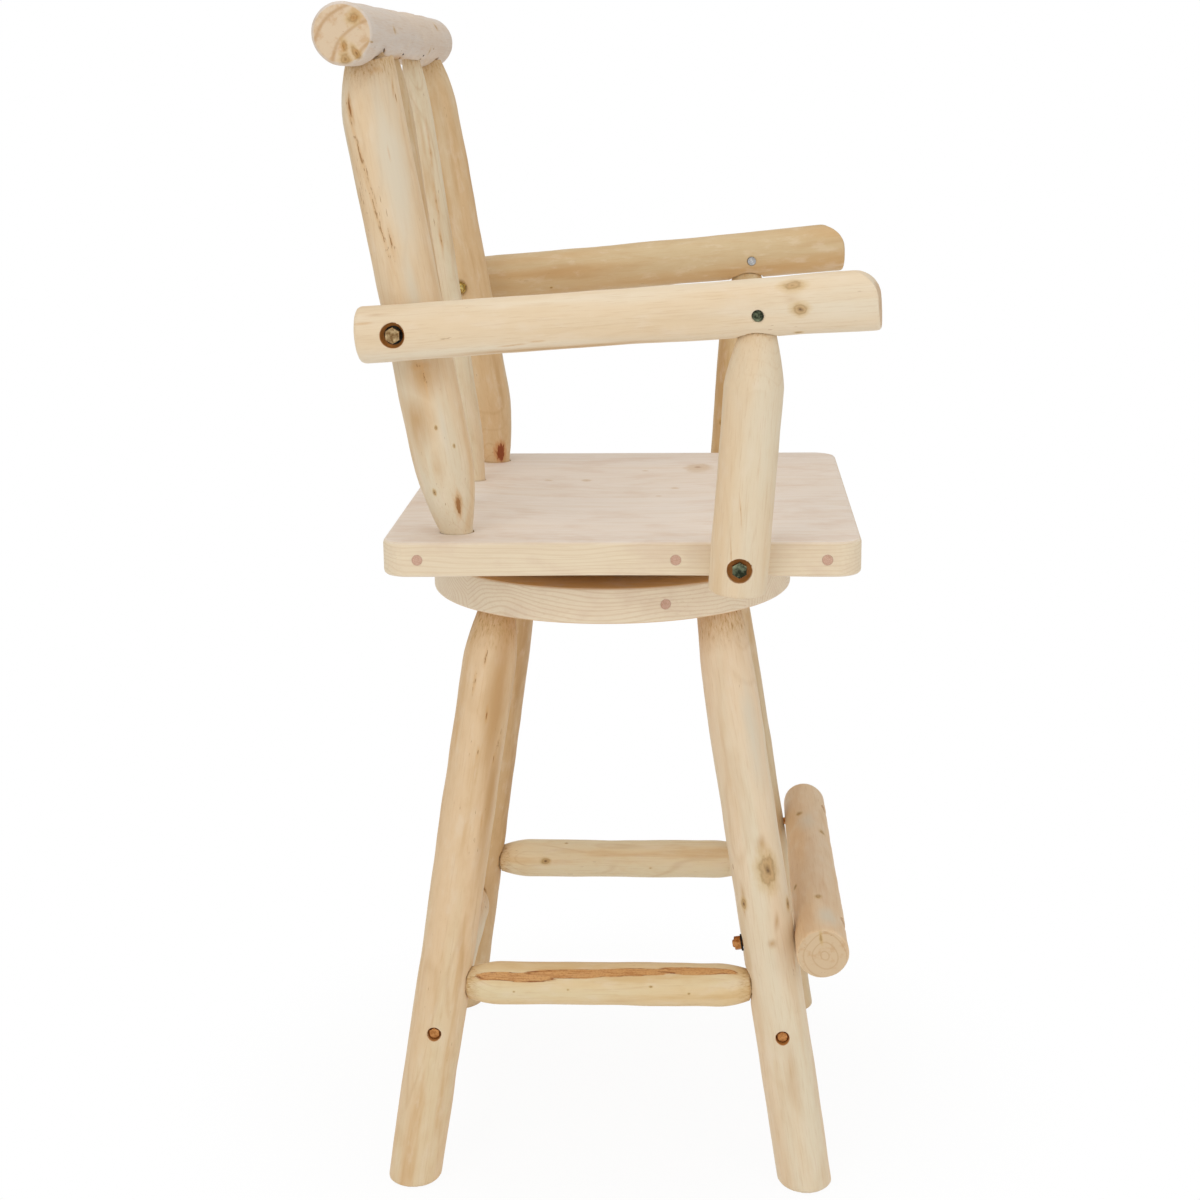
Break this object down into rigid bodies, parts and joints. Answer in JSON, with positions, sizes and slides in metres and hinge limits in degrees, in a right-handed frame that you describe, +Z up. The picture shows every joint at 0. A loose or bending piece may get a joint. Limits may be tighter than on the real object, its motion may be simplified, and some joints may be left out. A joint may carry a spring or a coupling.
{
  "type": "swivel bar stool",
  "caption": "Counter-height swivel stool of peeled logs, with a rectangular board seat, log arms, a leaning back with spindles, splayed legs, stretchers and a footrest.",
  "frame": {"origin": "on the floor, in the middle between the feet and under the swivel's axis", "axes": "+Z up, -Y to the front of the stool, -X to the sitter's right"},
  "size_m": [0.6384, 0.4998, 1.1639],
  "materials": {
    "log_wood": "peeled and draw-knifed fir log, unfinished",
    "board_wood": "planed and sanded pine board, unfinished",
    "plug_wood": "end grain of a birch dowel",
    "zinc_steel": "yellow zinc plate, slightly worn",
    "dark_steel": "black oxide",
    "blackened_steel": "black oxide with bright corners",
    "plate_steel": "zinc plate, in the shade under the seat",
    "bright_steel": "plain steel",
    "brass": "polished"
  },
  "bodies": {
    "base": {"base_disc": "board_wood", "disc_dowels": "plug_wood", "front_right_leg": "log_wood", "front_left_leg": "log_wood", "rear_right_leg": "log_wood", "rear_left_leg": "log_wood", "right_stretcher": "log_wood", "left_stretcher": "log_wood", "front_stretcher": "log_wood", "rear_stretcher": "log_wood", "stretcher_bolts": "zinc_steel", "footrest_log": "log_wood", "footrest_bolts": "zinc_steel", "footrest_washers": "dark_steel", "footrest_nuts": "zinc_steel", "swivel_lower_plate": "plate_steel", "lower_plate_screws": "zinc_steel", "swivel_pin": "bright_steel"},
    "ball_ring": {"bearing_balls": "bright_steel", "ball_cage": "dark_steel"},
    "seat": {"swivel_upper_plate": "plate_steel", "upper_plate_screws": "zinc_steel", "seat_board": "board_wood", "seat_dowels": "plug_wood", "right_back_post": "log_wood", "left_back_post": "log_wood", "right_spindle": "log_wood", "left_spindle": "log_wood", "top_rail": "log_wood", "rail_brads": "dark_steel", "right_arm": "log_wood", "left_arm": "log_wood", "right_arm_post": "log_wood", "left_arm_post": "log_wood", "arm_rear_bolts": "zinc_steel", "arm_bolt_washers": "dark_steel", "cap_nuts": "brass", "arm_post_bolts": "blackened_steel", "arm_connector_bolts": "dark_steel", "sleeve_nuts": "bright_steel"}
  },
  "joints": [
    {"name": "seat_swivel", "type": "hinge", "parent": "base", "child": "seat", "pos_m": [0, 0, 0.628], "axis": [0, 0, 1], "continuous": true},
    {"name": "ball_ring_turn", "type": "hinge", "parent": "base", "child": "ball_ring", "pos_m": [0, 0, 0.628], "axis": [0, 0, 1], "continuous": true}
  ],
  "couplings": [
    {"joint": "ball_ring_turn", "follows": "seat_swivel", "ratio": 0.5}
  ]
}
